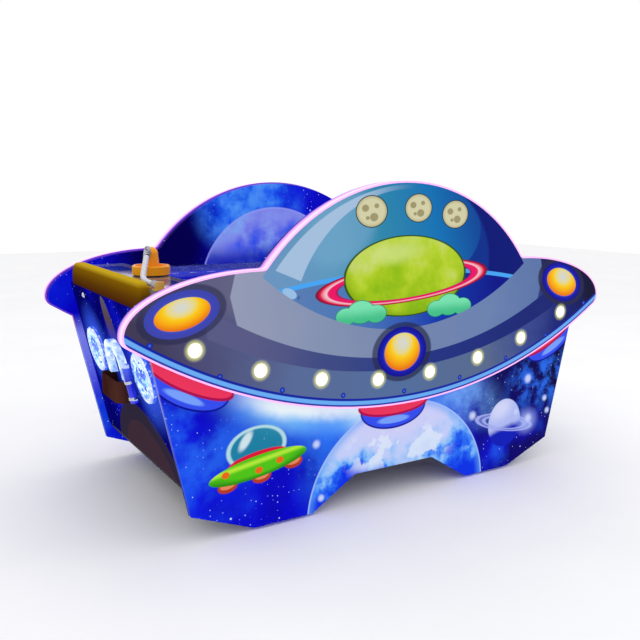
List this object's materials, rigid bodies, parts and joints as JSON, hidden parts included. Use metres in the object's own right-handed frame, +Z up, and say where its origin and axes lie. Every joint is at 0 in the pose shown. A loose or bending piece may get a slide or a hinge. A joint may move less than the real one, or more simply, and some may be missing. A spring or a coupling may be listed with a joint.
{
  "type": "air hockey table",
  "caption": "Children's air hockey table between two lit flying-saucer side boards, with tethered mallet, puck returns, blower, cash drawer and levelling feet.",
  "frame": {"origin": "centre of the footprint on the floor the levelling feet stand on", "axes": "+X along the table, from the end with the tethered mallet to the end with the coin unit; +Y from the front saucer to the back saucer; +Z up"},
  "size_m": [1.61, 0.8178, 0.9138],
  "materials": {
    "printed_board": "glossy printed sheet over board",
    "printed_face": "back-printed clear acrylic",
    "edge_light": "lit milky acrylic",
    "lamp_cap": "lit milky acrylic",
    "bare_wood": "raw plywood",
    "yellow_plastic": "glossy",
    "brown_plastic": "glossy",
    "goal_cover": "polished",
    "playfield": "glossy print",
    "cushion": "anodised",
    "lit_arch": "lit milky acrylic",
    "blue_tube": "lit acrylic",
    "chrome": "polished",
    "speaker_dish": "lit dish",
    "zinc_sheet": "zinc plated",
    "steel": "satin",
    "motor": "satin black",
    "impeller": "moulded",
    "black_plastic": "moulded",
    "red_button": "moulded",
    "mallet": "moulded",
    "felt": "pressed felt",
    "puck": "moulded",
    "tether": "satin",
    "tether_fitting": "moulded",
    "levelling_foot": "zinc plated"
  },
  "bodies": {
    "table": {"board_front": "printed_board", "board_back": "printed_board", "end_wall_left": "printed_board", "end_wall_right": "printed_board", "saucer_face_front": "printed_face", "saucer_face_back": "printed_face", "edge_light_front": "edge_light", "edge_light_back": "edge_light", "lamps_front": "lamp_cap", "lamps_back": "lamp_cap", "saucer_frame_front": "bare_wood", "saucer_frame_back": "bare_wood", "plenum": "bare_wood", "base_panel": "bare_wood", "foot_blocks": "bare_wood", "rail_left": "yellow_plastic", "rail_right": "yellow_plastic", "puck_tray_left": "brown_plastic", "puck_tray_right": "brown_plastic", "deck_left": "goal_cover", "deck_right": "goal_cover", "playfield": "playfield", "side_rail_front": "cushion", "side_rail_back": "cushion", "goal_bars": "cushion", "puck_hood_left": "lit_arch", "puck_hood_right": "lit_arch", "light_tube_left": "blue_tube", "light_tube_right": "blue_tube", "wall_fixings": "chrome", "speaker_bezels": "chrome", "speaker_cones": "speaker_dish", "puck_chute_left": "zinc_sheet", "puck_chute_right": "zinc_sheet", "blower_housing": "zinc_sheet", "power_box": "zinc_sheet", "drawer_guide": "zinc_sheet", "coin_plate": "steel", "service_hinge": "steel", "blower_motor": "motor", "power_inlet": "black_plastic", "tether": "tether", "tether_anchor": "tether_fitting"},
    "mallet_left": {"mallet_left": "mallet", "mallet_felt_left": "felt", "tether_clip": "tether"},
    "mallet_right": {"mallet_right": "mallet", "mallet_felt_right": "felt"},
    "puck": {"puck": "puck"},
    "impeller": {"blower_impeller": "impeller"},
    "coin_button": {"coin_button": "red_button"},
    "power_switch": {"power_switch": "black_plastic"},
    "cash_drawer": {"cash_drawer": "steel"},
    "cash_lock": {"cash_lock": "chrome"},
    "service_door": {"service_door": "printed_board"},
    "service_lock": {"service_lock": "chrome"},
    "foot_1": {"foot_1": "levelling_foot"},
    "foot_2": {"foot_2": "levelling_foot"},
    "foot_3": {"foot_3": "levelling_foot"},
    "foot_4": {"foot_4": "levelling_foot"}
  },
  "joints": [
    {"name": "mallet_left_lift", "type": "slide", "parent": "table", "child": "mallet_left", "axis": [0, 0, 1], "range_m": [0, 0.08], "deforming": ["tether"]},
    {"name": "mallet_right_lift", "type": "slide", "parent": "table", "child": "mallet_right", "axis": [0, 0, 1], "range_m": [0, 0.08]},
    {"name": "puck_glide", "type": "slide", "parent": "table", "child": "puck", "axis": [1, 0, 0], "range_m": [-0.77, 0.27]},
    {"name": "impeller_spin", "type": "hinge", "parent": "table", "child": "impeller", "pos_m": [0.15, 0, 0.388], "axis": [0, 1, 0], "continuous": true},
    {"name": "coin_button_push", "type": "slide", "parent": "table", "child": "coin_button", "axis": [-0.9756, 0, 0.2195], "range_m": [0, 0.004], "stiffness_N_per_m": 300},
    {"name": "power_switch_rock", "type": "hinge", "parent": "table", "child": "power_switch", "pos_m": [0.63112, -0.247, 0.17932], "axis": [0, 1, 0], "range_deg": [-12, 0]},
    {"name": "cash_drawer_slide", "type": "slide", "parent": "table", "child": "cash_drawer", "axis": [1, 0, 0], "range_m": [0, 0.13]},
    {"name": "cash_lock_turn", "type": "hinge", "parent": "cash_drawer", "child": "cash_lock", "pos_m": [0.64868, -0.005, 0.23], "axis": [0.9756, 0, -0.2195], "range_deg": [0, 90]},
    {"name": "service_door_swing", "type": "hinge", "parent": "table", "child": "service_door", "pos_m": [0.63613, 0.18, 0.152], "axis": [0, 1, 0], "range_deg": [0, 95]},
    {"name": "service_lock_turn", "type": "hinge", "parent": "service_door", "child": "service_lock", "pos_m": [0.65902, 0.18, 0.276], "axis": [0.9756, 0, -0.2195], "range_deg": [0, 90]},
    {"name": "foot_1_screw", "type": "slide", "parent": "table", "child": "foot_1", "axis": [0, 0, 1], "range_m": [-0.02, 0]},
    {"name": "foot_2_screw", "type": "slide", "parent": "table", "child": "foot_2", "axis": [0, 0, 1], "range_m": [-0.02, 0]},
    {"name": "foot_3_screw", "type": "slide", "parent": "table", "child": "foot_3", "axis": [0, 0, 1], "range_m": [-0.02, 0]},
    {"name": "foot_4_screw", "type": "slide", "parent": "table", "child": "foot_4", "axis": [0, 0, 1], "range_m": [-0.02, 0]}
  ]
}
